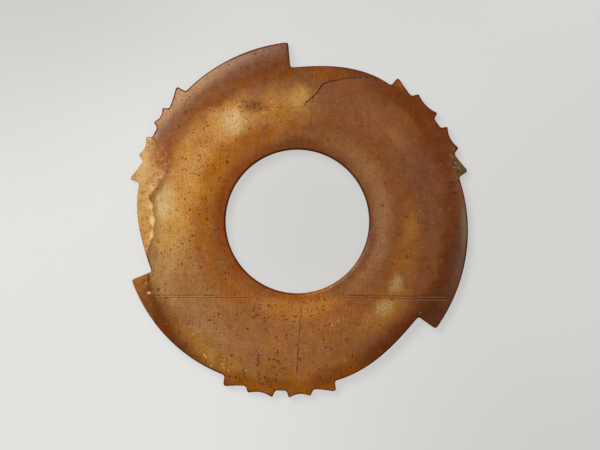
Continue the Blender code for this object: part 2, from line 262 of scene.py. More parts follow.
# The clouds follow the ring, so they are ovals laid along it, each in the colour that it shows.
CLOUDS = (
    # what it is, its middle as an angle and a radius, how far it reaches either way in
    # degrees along the ring and in millimetres across it, strength, colour
    ("honey band", 146, 50.5, 80, 19, 0.97, "#b67d3d"),
    ("lighter honey, left", 184, 53, 24, 14, 0.75, "#c4934f"),
    ("darker honey towards the hole", 150, 40, 80, 9, 0.85, "#9f5f19"),
    ("brown honey, upper left", 114, 39, 24, 7, 0.6, "#93541f"),
    ("red brown by the hole, left", 160, 31, 95, 7, 0.95, "#833f0e"),
    ("honey at the top", 99, 46.5, 26, 10, 0.7, "#a67137"),
    ("brown by the hole, top", 88, 31, 35, 6, 0.8, "#713c1a"),
    ("brown honey, lower left", 216, 51, 42, 20, 0.95, "#9a6a3b"),
    ("orange brown, lower left", 222, 40, 48, 9, 0.75, "#935317"),
    ("foot", 264, 49, 50, 22, 0.95, "#956032"),
    ("light band below the hole", 272, 37, 46, 7, 0.9, "#a86a2b"),
    ("orange, foot", 287, 45, 14, 7, 0.6, "#995f2a"),
    ("orange by the hole, foot", 276, 31, 36, 4.5, 0.8, "#98540f"),
    ("red by the hole, lower left", 222, 31, 50, 5, 0.8, "#8a4614"),
    ("foot, lower right", 300, 47, 30, 12, 0.7, "#8f5a2b"),
    ("amber, right", -20, 48, 44, 8, 0.85, "#8a5422"),
    ("amber, lower right", -46, 52.5, 24, 8, 0.85, "#95622b"),
    # Partly stone colour and partly painted sheen: the lighter, greyer ring right of the hole
    # stands for the veil of light on the slope down to the hole.
    ("light ring with painted sheen, right of the hole", 4, 36.5, 66, 5.5, 0.8, "#906244"),
    ("light ring with painted sheen, upper right of the hole", 45, 37.5, 30, 6, 0.6, "#8c5c38"),
    ("brown by the hole, right", -24, 30.5, 50, 4, 0.7, "#6a3e22"),
    ("brown by the hole, upper right", 62, 30.5, 16, 4.5, 0.6, "#683c22"),
    ("dull brown, right", 20, 54, 50, 9, 0.7, "#70442a"),
    ("brown, right", -4, 41, 26, 5, 0.5, "#744524"),
    ("brown, upper right", 55, 53, 34, 12, 0.8, "#835031"),
    ("red rim, right", 16, 66, 82, 7.5, 0.9, "#67330f"),
    ("dark rim, lower right", -47, 66, 28, 8.5, 0.97, "#5a2404"),
    ("right hook", -31, 69, 13, 9, 0.8, "#4c260a"),
    ("dark brown rim, right", -14, 67, 24, 7, 0.7, "#522507"),
    # Painted sheen: these two grey bands stand for the reflection of the right softbox along the
    # right rim.
    ("painted sheen on the rim, right", -1, 69.9, 12, 2.3, 0.85, "#65593f"),
    ("painted sheen on the rim, lower right", -14, 70.6, 12, 2.8, 0.6, "#4d3a26"),
    ("brown, top", 106, 58, 11, 5, 0.6, "#855233"),
    ("red band, top", 114, 62.5, 46, 6.5, 0.9, "#7b4218"),
    ("orange brown above the crack", 76, 62.5, 20, 6, 0.8, "#804712"),
    ("cap", 101, 67, 24, 8, 0.85, "#6b3409"),
    ("light rim, upper left", 134, 71.5, 34, 6, 0.8, "#9c6426"),
    ("teeth, upper right", 45, 69, 36, 6, 0.7, "#6c3410"),
    ("olive rim, lower left", 240, 66, 28, 7.5, 0.85, "#a57032"),
    ("outer honey, lower left", 203, 62, 16, 8, 0.9, "#a67a4a"),
    ("outer brown honey, lower left", 232, 59, 34, 8, 0.7, "#9e7046"),
    ("outer foot", 269, 61.5, 38, 8, 0.75, "#965f2e"),
    ("dark rim, lower left", 214, 73.5, 20, 6, 0.95, "#673105"),
    ("orange rim, foot", 262, 72, 36, 6, 0.95, "#935413"),
    ("dark orange rim, foot", 289, 66.5, 18, 7, 0.85, "#7f4309"),
    ("pale halo, upper left", 123, 49.5, 16, 9, 0.6, "#c2975a"),
    ("pale cloud, upper left", 122.5, 50, 8, 6.5, 0.7, "#cbac7a"),
    ("pale cloud, top", 89, 51.5, 9, 7.5, 0.75, "#b68a4b"),
    ("pale cloud, left", 172, 56, 12, 6.5, 0.85, "#ccaa74"),
    ("pale drift, left", 155, 50, 20, 8, 0.5, "#c4904f"),
    ("pale drift, lower left", 193, 56, 14, 9, 0.6, "#b88d56"),
    ("pale spot, right", -31.5, 48.6, 7, 4.0, 0.65, "#a98f5b"),
    ("pale spot, lower right", -45, 51.3, 7, 4.4, 0.65, "#ae915b"),
    ("amber blot, right", -4, 47.5, 12, 5, 0.5, "#97642c"),
    ("amber blot, upper right", 40, 54.5, 10, 4, 0.5, "#956339"),
    ("purple stain, top", 110.5, 51.5, 9, 4.5, 0.55, "#7c4a2e"),
    ("purple stain, left", 149, 64.5, 9, 6.5, 0.75, "#7e4622"),
    ("orange tooth", 53, 72.5, 4, 4, 0.6, "#94571c"),
    ("rust by the ledge, left", 165, 62, 9, 3.8, 0.9, "#a05c22"),
    ("rust rim, left", 196, 67, 5, 4, 0.85, "#8f561f"),
    ("light drift, left", 165, 45.5, 12, 7, 0.45, "#c8924c"),
    ("brown by the hole, lower right", 301, 33.5, 12, 5, 0.5, "#74441c"),
    ("dark rim, foot", 300, 65, 9, 6, 0.6, "#5c2c06"),
    ("orange edge, foot", 285, 71.5, 8, 4, 0.9, "#a0560e"),
    ("orange lip, foot", 270, 66.5, 9, 4.5, 0.5, "#a5621f"),
    ("red brown, top", 90, 39, 14, 4, 0.4, "#80481a"),
    ("brown, above the hole", 106, 40.5, 9, 5, 0.4, "#8a4c1c"),
    ("light brown, upper right", 45, 62, 16, 4, 0.5, "#85522f"),
    ("rust rim, right", 15, 70.5, 7, 3, 0.5, "#78430f"),
    ("light brown, right", 18, 62, 12, 3.5, 0.5, "#7c4a28"),
    # Painted highlight: this gold line stands for the light that the lower right lip of the hole
    # catches.
    ("painted highlight on the lip of the hole, lower right", -62, 30.2, 50, 1.5, 0.75, "#b3742c"),
    ("light lip of the hole, upper right", 38, 31.5, 14, 3.5, 0.5, "#845a3e"),
    ("light lip of the hole, left", 150, 33, 12, 4, 0.5, "#95501c"),
    ("light drift, lower left", 196, 47, 8, 5, 0.4, "#b27c40"),
)
HALF_TURN, FULL_TURN = 180.0, 360.0


def painted(under, tone, share, **settings):
    """The colour underneath with this hex tone over it, as strong as the share says."""
    return add("ShaderNodeMix", {0: share, 6: under, 7: linear(tone)},
               data_type="RGBA", **settings).outputs[2]


for name, middle, out, span, width, strength, tone in CLOUDS:
    turned = add("ShaderNodeMath", {0: angle, 1: middle + HALF_TURN, 2: middle - HALF_TURN},
                 operation="WRAP")
    on_ring = add("ShaderNodeCombineXYZ", {0: turned.outputs[0], 1: radius})
    share = oval(on_ring.outputs[0], (middle, out), (span, width), strength)
    colour = painted(colour, tone, share, label=name)

# The mottled felt of the stone, from blotches down to a grain that is drawn several times as
# coarse as the real felt so that it shows, hairline streaks left by the last rubbing, and a
# slow drift of the hue between orange and purple brown.
FELT = (
    # grain in millimetres, darkest, lightest
    (6.0, 0.87, 1.15),
    (1.6, 0.92, 1.08),
    (0.45, 0.58, 1.42),
)
NOISE_RANGE = (0.25, 0.75)                          # nearly all values of a noise lie in here
NOISE_CORE = (0.3, 0.7)                             # and most of them in here
STREAK_SCALES = (1 / 0.6, 1 / 9.0, 1 / 9.0)         # 0.6 mm apart and 9 mm long, along Y
STREAK_DARK, STREAK_LIGHT = 0.91, 1.09
HUE_GRAIN = 4.0
HUES = (0.4945, 0.5055)                             # 0.5 leaves the hue as it is
PURITIES = (0.96, 1.05)
for grain, low, high in FELT:
    felt = noise(in_stone, grain, 3.0, Roughness=0.6)["Fac"]
    share = ranged(felt, *NOISE_RANGE, low, high)
    colour = add("ShaderNodeHueSaturation", {"Value": share, "Color": colour}).outputs[0]
stretched = add("ShaderNodeMapping", {"Vector": in_stone, "Scale": STREAK_SCALES}).outputs[0]
streaks = noise(stretched, 1.0, 2.0)["Fac"]
streaks = ranged(streaks, *NOISE_RANGE, STREAK_DARK, STREAK_LIGHT)
colour = add("ShaderNodeHueSaturation", {"Value": streaks, "Color": colour}).outputs[0]
tints = noise(wandering, HUE_GRAIN, 4.0, Roughness=0.6)["Color"]
tints = add("ShaderNodeSeparateColor", {"Color": tints}).outputs
hue = ranged(tints[0], *NOISE_CORE, *HUES)
purity = ranged(tints[1], *NOISE_CORE, *PURITIES)
colour = add("ShaderNodeHueSaturation", {
    "Hue": hue, "Saturation": purity, "Color": colour}).outputs[0]


# Iron specks and cream flecks sit in the felt. Each kind is scattered in cells, and only a
# share of the cells holds one; they crowd together on the left and at the foot.
SPECKS = (
    # cell, largest radius, softness, share of cells, crowding on the left, strength, colour
    (5.5, 2.2, 1.2, 0.35, 0.3, 0.22, "#63401f"),
    (3.6, 0.9, 0.9, 0.35, 0.0, 0.22, "#b5783c"),
    (0.8, 0.26, 0.08, 0.50, 0.6, 0.90, "#583413"),
    (1.5, 0.42, 0.12, 0.30, 0.7, 0.95, "#50270d"),
    (2.9, 0.70, 0.26, 0.24, 0.75, 0.80, "#50280f"),
    (4.3, 0.42, 0.18, 0.14, 0.7, 0.60, "#dcb87c"),
    (1.9, 0.28, 0.12, 0.20, 0.7, 0.50, "#d9a05c"),
)
DENTED = ("#50270d", "#50280f")             # the tones of the specks that sit in a small dent
RAGGED_GRAIN = 0.8
RAGGED_REACH = (1.6, 1.6, 0.0)
SPECK_SHIFT = (37.0, 11.0)                  # sets the cells of each kind apart from the others'
PATCH_GRAIN = 9.0                           # specks lie in patches of about this size
PATCH_EDGE = (0.44, 0.58)
CROWDED_WAY = (-0.8, -0.6, 0.0)             # towards the lower left, where most specks lie
CROWDED_FROM, CROWDED_FULL = -40.0, 25.0    # how far that way, in millimetres
CLEARED_LEVELS = (0.6, 0.3)                 # how level the stone is where the specks fade out
ragged = shaken(noise(in_stone, RAGGED_GRAIN, 2.0)["Color"], RAGGED_REACH)
leftward = add("ShaderNodeVectorMath", {0: place, 1: CROWDED_WAY}, operation="DOT_PRODUCT")
leftward = ranged(leftward.outputs["Value"], CROWDED_FROM, CROWDED_FULL,
                  interpolation_type="SMOOTHSTEP")


def product(first, second):
    """One socket times another socket or a number."""
    return add("ShaderNodeMath", {0: first, 1: second}, operation="MULTIPLY").outputs[0]


def mark(mesh, name, values):
    """Keeps one value for each vertex under this name, for the stone's colour to read."""
    layer = mesh.attributes.get(name) or mesh.attributes.new(name, "FLOAT", "POINT")
    layer.data.foreach_set("value", np.ascontiguousarray(values, np.float32))


def kept(name):
    """What mark() kept under this name, as a socket."""
    return add("ShaderNodeAttribute", {}, attribute_name=name).outputs["Fac"]


# The cells run straight down, so the walls are kept clear of them.
mark(disc.data, "wall", eased(np.abs(upward(disc.data)), *CLEARED_LEVELS))
off_wall = add("ShaderNodeMath", {0: 1.0, 1: kept("wall")}, operation="SUBTRACT").outputs[0]
dents = None
for number, (cell, largest, softness, held, crowding, strength, tone) in enumerate(SPECKS):
    shift = (SPECK_SHIFT[0] * number, SPECK_SHIFT[1] * number, 0.0)
    moved = add("ShaderNodeMapping", {"Vector": ragged, "Location": shift}).outputs[0]
    cells = add("ShaderNodeTexVoronoi", {"Vector": moved, "Scale": 1 / cell},
                voronoi_dimensions="2D").outputs
    draw = add("ShaderNodeSeparateColor", {"Color": cells["Color"]}).outputs[0]
    size = ranged(draw, 1.0 - held, 1.0, -softness / cell, largest / cell)
    room = add("ShaderNodeMath", {0: size, 1: cells["Distance"]}, operation="SUBTRACT").outputs[0]
    dot = ranged(room, -0.5 * softness / cell, softness / cell, 0.0, strength,
                 interpolation_type="SMOOTHSTEP")
    patches = ranged(noise(moved, PATCH_GRAIN, 2.0)["Fac"], *PATCH_EDGE)
    thick = product(ranged(leftward, 0.0, 1.0, 1.0 - crowding), patches)
    share = product(product(dot, thick), off_wall)
    colour = painted(colour, tone, share)
    if tone in DENTED:
        dents = share if dents is None else add(
            "ShaderNodeMath", {0: dents, 1: share}, operation="MAXIMUM").outputs[0]


# The scored lines. Straight saw cuts left from laying out the rim show as hairlines in the
# polish: two pairs level with the lower hooks, one down from the top edge, one down from the
# hole, and two faint scratches. Each is cut along its two edges and its middle, and sunk.
SCORED_LINES = (
    # start and end, width, depth in millimetres, and how dark it is
    ((-64.0, -31.0), (-33.0, -31.05), 0.36, 0.13, 0.9),
    ((-62.0, -31.9), (-17.0, -31.7), 0.34, 0.11, 0.8),
    ((16.5, -31.0), (63.5, -31.35), 0.36, 0.11, 1.0),
    ((18.0, -31.9), (63.5, -32.5), 0.34, 0.10, 0.8),
    ((7.2, 64.3), (5.0, 31.4), 0.30, 0.07, 0.75),
    ((1.8, -34.2), (-0.3, -65.2), 0.36, 0.08, 1.0),
    ((-14.0, 47.6), (8.2, 47.5), 0.26, 0.05, 0.4),
    ((-1.7, 63.5), (1.6, 59.3), 0.26, 0.05, 0.4),
)
BURRS = (
    # the light lips raised beside some of the cuts
    ((-60.0, -31.47), (-19.0, -31.40), 0.34, -0.02, 0.55),
    ((49.0, -31.60), (63.5, -31.72), 0.34, -0.02, 0.50),
    ((49.0, -32.80), (63.5, -32.92), 0.34, -0.02, 0.50),
    ((7.1, 64.3), (6.4, 54.0), 0.40, -0.02, 0.45),
)
SCORE_FADE = 2.5 * MM                       # over this length each cut runs out at its ends
CUT_REACH = 1.2 * MM                        # only faces this near to a cut are split by it
UPPER_SIDE = 1.5 * MM                       # every point above this height is on the upper side
UPPER_FACE = 0.5                            # and every face that looks up more than this
SCORE_COLOUR = "#34170a"
BURR_COLOUR = "#b98a56"


def select_faces(mesh, chosen):
    """Selects these faces of the mesh and nothing else, for the next edit."""
    nothing = np.zeros(max(len(mesh.edges), len(mesh.vertices)), bool)
    mesh.vertices.foreach_set("select", nothing[: len(mesh.vertices)])
    mesh.edges.foreach_set("select", nothing[: len(mesh.edges)])
    mesh.polygons.foreach_set("select", chosen)


def top_faces(mesh):
    """The middle of every face, and whether it belongs to the upper side."""
    middles = np.empty(len(mesh.polygons) * 3, np.float32)
    mesh.polygons.foreach_get("center", middles)
    normals = np.empty(len(mesh.polygons) * 3, np.float32)
    mesh.polygons.foreach_get("normal", normals)
    return middles.reshape(-1, 3), normals.reshape(-1, 3)[:, 2] > UPPER_FACE


def along_and_across(points, start, end):
    """Where points lie beside a straight line: how far along it, and how far to its side."""
    heading = (end - start) / np.linalg.norm(end - start)
    offset = points[:, :2] - start
    return offset @ heading, offset @ np.array((-heading[1], heading[0]))


for start, end, width, depth, strength in (*SCORED_LINES, *BURRS):
    start, end = np.array(start) * MM, np.array(end) * MM
    length = np.linalg.norm(end - start)
    heading = Vector((*(end - start), 0.0)).normalized()
    side = Vector((-heading.y, heading.x, 0.0))
    for offset in (-0.5, 0.0, 0.5):
        middles, on_top = top_faces(disc.data)
        along, across = along_and_across(middles, start, end)
        near = (along > 0.0) & (along < length) & (np.abs(across) < CUT_REACH) & on_top
        select_faces(disc.data, near)
        bpy.ops.object.mode_set(mode="EDIT")
        on_cut = Vector((*start, 0.0)) + side * (offset * width * MM)
        bpy.ops.mesh.bisect(plane_co=on_cut, plane_no=side)
        bpy.ops.object.mode_set(mode="OBJECT")

points = points_of(disc.data)
on_top = points[:, 2] > UPPER_SIDE
for name, lines, tone in (("scored", SCORED_LINES, SCORE_COLOUR), ("burr", BURRS, BURR_COLOUR)):
    shown = np.zeros(len(points))
    for start, end, width, depth, strength in lines:
        start, end = np.array(start) * MM, np.array(end) * MM
        along, across = along_and_across(points, start, end)
        from_end = np.minimum(along, np.linalg.norm(end - start) - along)
        fade = np.clip(from_end / SCORE_FADE, 0.0, 1.0)
        sunk = np.clip(1.0 - np.abs(across) / (0.5 * width * MM), 0.0, 1.0) * fade * on_top
        points[:, 2] -= depth * MM * sunk
        shown = np.maximum(shown, strength * sunk)
    mark(disc.data, name, shown)
    colour = painted(colour, tone, kept(name))
set_points(disc.data, points)


# The flake scars. Where the blank's honey-coloured skin was never reached, or a flake broke
# away, the rim is left low and rough, with a brown line along the ledge. The skin runs from
# each edge line out to the rim, so a point beyond the rim closes each outline.
SCARS = (
    # the left scar, the scar on the left hook, and the chipped tooth on the right
    ((-70.0, 40.0), (-60.7, 35.3), (-57.1, 32.3), (-54.9, 29.3), (-53.4, 26.2), (-55.4, 20.7),
     (-56.9, 17.1), (-60.0, 13.0), (-62.0, 11.0), (-61.2, 7.5), (-60.0, 3.9), (-59.7, -0.6),
     (-60.5, -6.2), (-62.0, -10.3), (-63.0, -13.3), (-80.0, -16.0)),
    ((-70.0, -17.0), (-61.5, -21.5), (-62.8, -23.0), (-63.0, -27.0), (-61.5, -30.1), (-62.0, -33.0),
     (-61.0, -37.0), (-60.4, -40.4), (-75.0, -45.0)),
    ((63.5, 28.0), (65.5, 24.5), (67.2, 19.0), (80.0, 19.0), (75.0, 30.0)),
)
SKIN_TONES = (
    # angle round the ring, colour: the chipped tooth, the left scar, the scar on the hook
    (20.0, "#64492a"),
    (60.0, "#c08a46"),
    (160.0, "#caa26c"),
    (176.0, "#c08c46"),
    (188.0, "#b17c36"),
    (197.0, "#98601c"),
    (207.0, "#763f10"),
)
CREAM_AND_HIGHLIGHT_COLOUR = "#e0c28c"
RUST_COLOUR = "#9c5a20"
FLECK_COLOUR = "#d8b070"
HOOK_COLOUR = "#5f2c0c"
LOBE_COLOUR = "#96521f"
LEDGE_COLOUR = "#7c4518"
PAINTED_LEDGE_SHADE_COLOUR = "#7d5218"
SKIN_ROUGHNESS = 0.7
SPLIT_ZONE = 1.0 * MM                       # the mesh is finer this near to a ledge
SCARRED_FACE = 0.3                          # how much a face looks up to take part in a scar
LEDGE_ROUNDS = 10                           # how often the ledge is smoothed
LOBE_ROUNDS = 60                            # the upper lobe is worn down far more
LOBE_FOOT, LOBE_TOP = 12.0 * MM, 20.0 * MM
LEDGE_ZONE = (2.2 * MM, 0.6 * MM)           # how near to the ledge, where it starts and is full
LOBE_ZONE = (3.0 * MM, 1.0 * MM)
SKIN_ZONE = (-0.6 * MM, 1.0 * MM)
FLAKE_GRAIN = 2.4 * MM
FLAKE_RELIEF = 0.6 * MM
TATTERED_GRAIN = 1.6
TATTERED_REACH = 0.7                        # how far the scar's outline frays, in millimetres
SCAR_EDGE = (-0.3, 0.5)
LUMP_EDGE = (0.44, 0.64)
PAINTED_LEDGE_SHADE_ZONE = (-2.6, -0.2)
PAINTED_LEDGE_SHADE_STRENGTH = 0.4
LEDGE_LINE = (0.5, 0.05)
LEDGE_STRENGTH = 0.75
LEDGE_TOP = (24.0, 12.0)                    # the line fades out between these heights


def inside(points, outline):
    """How far points lie inside a closed outline, in metres, and negative outside it."""
    corners = np.array(outline) * MM
    nearest = np.full(len(points), np.inf)
    within = np.zeros(len(points), bool)
    for start, end in zip(corners, np.roll(corners, -1, axis=0)):
        way = end - start
        along = np.clip((points[:, :2] - start) @ way / (way @ way), 0.0, 1.0)
        gap = points[:, :2] - (start + along[:, None] * way)
        nearest = np.minimum(nearest, np.hypot(gap[:, 0], gap[:, 1]))
        crosses = (start[1] > points[:, 1]) != (end[1] > points[:, 1])
        rise = way[1] if way[1] != 0.0 else 1.0
        meets = start[0] + (points[:, 1] - start[1]) / rise * way[0]
        within ^= crosses & (points[:, 0] < meets)
    return np.where(within, nearest, -nearest)


def split_faces(piece, near, times):
    """Divides the upper faces whose middles the rule picks out, for finer relief."""
    for _ in range(times):
        middles, on_top = top_faces(piece.data)
        select_faces(piece.data, near(middles) & on_top)
        bpy.ops.object.mode_set(mode="EDIT")
        bpy.ops.mesh.subdivide(number_cuts=1)
        bpy.ops.object.mode_set(mode="OBJECT")


def skin_depth(points):
    """How far each point lies inside the nearest scar."""
    return np.max([inside(points, outline) for outline in SCARS], axis=0)


split_faces(disc, lambda middles: np.abs(skin_depth(middles)) < SPLIT_ZONE, 1)
points = points_of(disc.data)
in_skin = skin_depth(points)
faces_up = upward(disc.data) > SCARRED_FACE
ledge = grouped(disc, "ledge", eased(np.abs(in_skin), *LEDGE_ZONE) * faces_up)
shaped_by(disc, "SMOOTH", factor=0.5, iterations=LEDGE_ROUNDS, vertex_group=ledge)
in_lobe = eased(points[:, 1], LOBE_FOOT, LOBE_TOP)
worn_down = eased(np.abs(in_skin), *LOBE_ZONE) * in_lobe * faces_up
worn_lobe = grouped(disc, "worn_lobe", worn_down)
shaped_by(disc, "SMOOTH", factor=0.5, iterations=LOBE_ROUNDS, vertex_group=worn_lobe)
flaking = bpy.data.textures.new("flaking", "CLOUDS")
flaking.noise_scale = FLAKE_GRAIN
flaking.noise_depth = 3
skin = grouped(disc, "skin", eased(in_skin, *SKIN_ZONE) * faces_up)
shaped_by(disc, "DISPLACE", texture=flaking, texture_coords="LOCAL", direction="Z",
          strength=FLAKE_RELIEF, mid_level=0.6, vertex_group=skin)
mark(disc.data, "skin_gap", in_skin / MM)

tattered = noise(in_stone, TATTERED_GRAIN, 4.0, Roughness=0.65)["Fac"]
tattered = ranged(tattered, *NOISE_RANGE, -1.0, 1.0)
skin_gap = add("ShaderNodeMath", {0: tattered, 1: TATTERED_REACH, 2: kept("skin_gap")},
               operation="MULTIPLY_ADD").outputs[0]
in_scar = ranged(skin_gap, *SCAR_EDGE, interpolation_type="SMOOTHSTEP")
turn = add("ShaderNodeMath", {0: angle, 1: FULL_TURN, 2: 0.0}, operation="WRAP").outputs[0]
turn = add("ShaderNodeMath", {0: turn, 1: FULL_TURN}, operation="DIVIDE").outputs[0]
skin_colour = ramp(turn, SKIN_TONES, 0.0, FULL_TURN)
SKIN_LUMPS = (
    # colour, place in the noise, reach from the ledge in millimetres, lump size, strength, and
    # the two heights in the picture between which it fades in
    (RUST_COLOUR, 23.0, 9.0, 2.6, 0.75, -100.0, -90.0),
    (FLECK_COLOUR, 5.0, 40.0, 1.1, 0.45, -30.0, -10.0),
    # The cream lumps by the ledge are pale stone and partly a painted highlight where the ledge
    # catches the light.
    (CREAM_AND_HIGHLIGHT_COLOUR, 61.0, 3.0, 2.2, 0.55, -20.0, -12.0),
    (HOOK_COLOUR, 61.0, 3.0, 1.2, 0.8, -14.0, -20.0),
    (LOBE_COLOUR, 83.0, 9.0, 0.9, 0.75, 12.0, 19.0),
)
north = east_and_north[1]
for tone, seed, reach, grain, strength, none_at, full_at in SKIN_LUMPS:
    moved = add("ShaderNodeMapping", {"Vector": place, "Location": (seed, 0.0, 0.0)}).outputs[0]
    lumps = ranged(noise(moved, grain, 5.0, Roughness=0.6)["Fac"], *LUMP_EDGE, 0.0, strength)
    lumps = product(lumps, ranged(skin_gap, reach, reach / 3))
    lumps = product(lumps, ranged(north, none_at, full_at))
    skin_colour = painted(skin_colour, tone, product(lumps, leftward))

# The polish beside a scar is darkened olive, a painted shade where it slopes down to the ledge.
# Below the upper lobe a broken line follows the ledge.
olive = product(ranged(skin_gap, *PAINTED_LEDGE_SHADE_ZONE, 0.0, PAINTED_LEDGE_SHADE_STRENGTH), leftward)
colour = painted(colour, PAINTED_LEDGE_SHADE_COLOUR, olive)
colour = add("ShaderNodeMix", {0: in_scar, 6: colour, 7: skin_colour}, data_type="RGBA").outputs[2]
to_ledge = add("ShaderNodeMath", {0: skin_gap}, operation="ABSOLUTE").outputs[0]
broken = ranged(tattered, -0.5, 0.5, 0.0, LEDGE_STRENGTH)
on_ledge = product(ranged(to_ledge, *LEDGE_LINE), broken)
on_ledge = product(on_ledge, ranged(north, *LEDGE_TOP))
colour = painted(colour, LEDGE_COLOUR, on_ledge)

# Single blotches that the eye picks out: stains that run over the upper ledge of the left scar
# and blur it, cream flecks by the lower rims, and dark streaks and spots on the right.
STAINS = (
    # middle, reach along x and y in millimetres, strength, colour
    (-57.0, 33.0, 6.5, 7.0, 0.95, "#824a28"),
    (-57.5, 26.0, 7.0, 9.5, 0.95, "#9c5a20"),
    (-55.0, 25.5, 3.5, 8.0, 0.90, "#85451a"),
)
BLOTCHES = (
    # as above
    (-19.0, 48.6, 5.0, 2.4, 0.50, "#7a4228"),
    (-22.5, 50.3, 1.8, 1.2, 0.50, "#80462a"),
    (-15.8, 50.6, 1.6, 0.8, 0.40, "#85492a"),
    (65.4, 25.0, 0.9, 2.4, 0.80, "#3a2412"),
    (67.3, 21.0, 0.7, 1.4, 0.70, "#45301a"),
    (-57.5, 15.0, 2.6, 4.0, 0.60, "#7f5a28"),
    (-59.5, -13.5, 1.8, 5.0, 0.60, "#7a5c2e"),
    # Cream lumps on the ledge of the left scar: pale stone and partly a painted highlight where the
    # ledge catches the light.
    (-61.3, 6.4, 1.3, 2.4, 0.85, "#e0c084"),
    (-60.8, 0.6, 1.5, 2.6, 0.85, "#e6ca94"),
    (-61.0, -5.8, 1.5, 1.9, 0.85, "#e2c388"),
    (-61.6, -2.4, 1.3, 1.5, 0.85, "#b9741f"),
    (-62.0, -8.6, 1.0, 1.4, 0.70, "#c9883a"),
    (-63.0, 3.2, 1.2, 2.2, 0.55, "#b98640"),
    (-62.3, -23.6, 0.9, 3.8, 0.85, "#552a0e"),
    (-62.1, -28.2, 0.8, 2.0, 0.75, "#5a2c10"),
    (-63.5, -25.4, 0.6, 1.8, 0.65, "#b87a35"),
    (-62.2, -29.9, 1.3, 0.8, 0.90, "#e0be7c"),
    (-14.0, 45.4, 3.6, 1.2, 0.50, "#c68743"),
    (-10.6, 47.4, 1.8, 0.7, 0.50, "#cc8a48"),
    (1.6, 33.8, 0.5, 2.4, 0.60, "#4a2c1c"),
    (4.7, 32.9, 0.4, 1.9, 0.60, "#4a2c1c"),
    (-38.9, -56.0, 1.2, 0.5, 0.70, "#d3ac60"),
    (-38.2, -56.9, 0.6, 0.8, 0.75, "#d0a458"),
    (-36.1, -60.5, 0.8, 0.7, 0.70, "#c99c50"),
    (-31.5, -59.7, 0.9, 0.6, 0.65, "#c8a05a"),
    (-31.0, -61.0, 0.7, 0.5, 0.55, "#c39a58"),
    (-43.7, -47.1, 0.9, 0.7, 0.60, "#bf9a5c"),
    (-44.9, -44.2, 0.5, 1.0, 0.50, "#bd975a"),
    (-42.0, -45.0, 2.4, 3.0, 0.35, "#b08a54"),
    (-29.0, -62.6, 0.8, 0.8, 0.55, "#c2964f"),
    (-36.0, -56.5, 2.2, 5.0, 0.40, "#b08748"),
    (14.5, -43.3, 1.0, 0.5, 0.70, "#c9985c"),
    (19.9, -58.0, 1.3, 0.4, 0.60, "#c08c4a"),
    (64.5, 16.4, 3.2, 0.6, 0.75, "#3a1806"),
    (63.5, 14.2, 2.6, 0.5, 0.55, "#45200c"),
    (65.8, 11.9, 2.4, 0.7, 0.80, "#3a1806"),
    (45.5, 1.9, 1.2, 0.8, 0.80, "#4f260c"),
    (42.1, -5.2, 1.2, 0.7, 0.70, "#55391f"),
    (45.9, -14.9, 1.5, 1.2, 0.70, "#57290f"),
    (57.2, -25.8, 1.0, 1.4, 0.70, "#4a2511"),
    (52.2, -0.2, 1.2, 1.0, 0.50, "#503a26"),
    (54.0, -15.5, 3.0, 1.8, 0.35, "#5a3826"),
    (-13.6, 39.1, 1.5, 0.9, 0.90, "#55503c"),
    (66.0, 24.6, 0.7, 0.6, 0.80, "#b98f4c"),
    (67.6, 22.4, 0.6, 0.7, 0.80, "#a98346"),
    (65.8, 22.6, 0.5, 0.4, 0.70, "#c39a55"),
)
STAIN_PATCHES = (-0.45, 0.2)
THINNEST_STAIN = 0.25
patchy = ranged(tattered, *STAIN_PATCHES, THINNEST_STAIN)
for x, y, reach_x, reach_y, strength, tone in STAINS:
    share = oval(wandering, (x, y), (reach_x, reach_y), strength)
    colour = painted(colour, tone, product(share, patchy))
for x, y, reach_x, reach_y, strength, tone in BLOTCHES:
    colour = painted(colour, tone, oval(ragged, (x, y), (reach_x, reach_y), strength))


# The crack. An old split runs in from the top edge and has been worn smooth: a dark hairline
# at its lower end, filled with grey-green dirt further along, with purpler stone below it.
CRACK = (
    (2.0, 47.4), (2.5, 47.9), (4.2, 50.3), (6.3, 51.8), (9.1, 54.6), (10.1, 56.9), (13.4, 58.6),
    (16.8, 59.0), (20.6, 60.1), (24.5, 59.9), (27.5, 60.5), (31.0, 60.0), (36.3, 58.4),
    (40.0, 57.5), (43.5, 57.2),
)
CRACK_SHIVER = ((3.1, 0.12), (1.7, 0.10), (0.9, 0.07))     # wave length and swing, in millimetres
CRACK_ZONE = 0.8 * MM                       # the mesh is finer this near to the crack
CRACK_HALF_WIDTH = 0.27 * MM
FILL_HALF_WIDTH = 0.55 * MM
STEP_REACH = 2.5 * MM                       # the stone below the crack has sunk over this width
BLOCK_REACH = 11.0 * MM                     # and is purpler over this one
CRACK_STARTS, CRACK_ENDS = (0.0, 0.06), (1.0, 0.65)        # shares of the way along the crack
DIRT_STARTS, DARK_FADES = (0.22, 0.48), (0.39, 0.56)
DARK_LOST = 0.6
CRACK_STEP = 0.10 * MM
CRACK_DEPTH = 0.25 * MM
CRACK_COLOUR = "#20160c"
CRACK_FILL = "#6d6a50"
BLOCK_COLOUR = "#7b4a38"


def beside(points, path):
    """The distance from points to a path, which side they lie on, and the share of it passed."""
    corners = np.array(path) * MM
    runs = np.hypot(*np.diff(corners, axis=0).T)
    passed = np.concatenate(((0.0,), np.cumsum(runs))) / runs.sum()
    nearest = np.full(len(points), np.inf)
    side = np.ones(len(points))
    share = np.zeros(len(points))
    for number, (start, end) in enumerate(zip(corners, corners[1:])):
        way = end - start
        offset = points[:, :2] - start
        along = np.clip(offset @ way / (way @ way), 0.0, 1.0)
        gap = offset - along[:, None] * way
        distance = np.hypot(gap[:, 0], gap[:, 1])
        closer = distance < nearest
        nearest = np.where(closer, distance, nearest)
        side = np.where(closer, np.sign(way[0] * offset[:, 1] - way[1] * offset[:, 0]), side)
        here = passed[number] + along * (passed[number + 1] - passed[number])
        share = np.where(closer, here, share)
    return nearest, side, share


